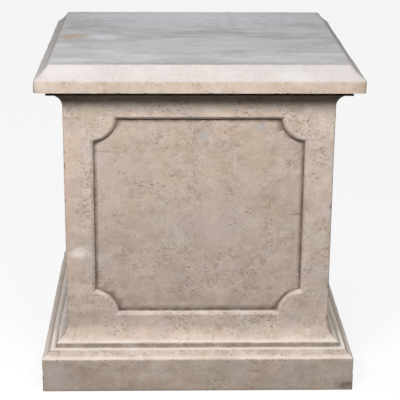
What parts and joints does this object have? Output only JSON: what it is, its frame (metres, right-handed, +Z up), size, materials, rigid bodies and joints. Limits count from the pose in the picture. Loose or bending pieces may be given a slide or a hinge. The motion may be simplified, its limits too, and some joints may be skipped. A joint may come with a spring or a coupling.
{
  "type": "square garden pedestal",
  "caption": "Square stone pedestal with a moulded cap slab, a cove neck, a die with sunk panels and a moulded plinth, to carry a column, an urn or a statue.",
  "frame": {"origin": "centre of the underside, on the ground", "axes": "+Z up; the face with the strongest wear and pitting looks towards -Y; +X to its right"},
  "size_m": [0.61, 0.61, 0.6475],
  "materials": {
    "pedestal_stone": "cast limestone, fine and matt, with pinholes and rubbed edges",
    "cap_stone": "the same cast limestone, its top weathered grey and brushed"
  },
  "bodies": {
    "root": {"pedestal": "pedestal_stone", "cap": "cap_stone"}
  },
  "joints": []
}
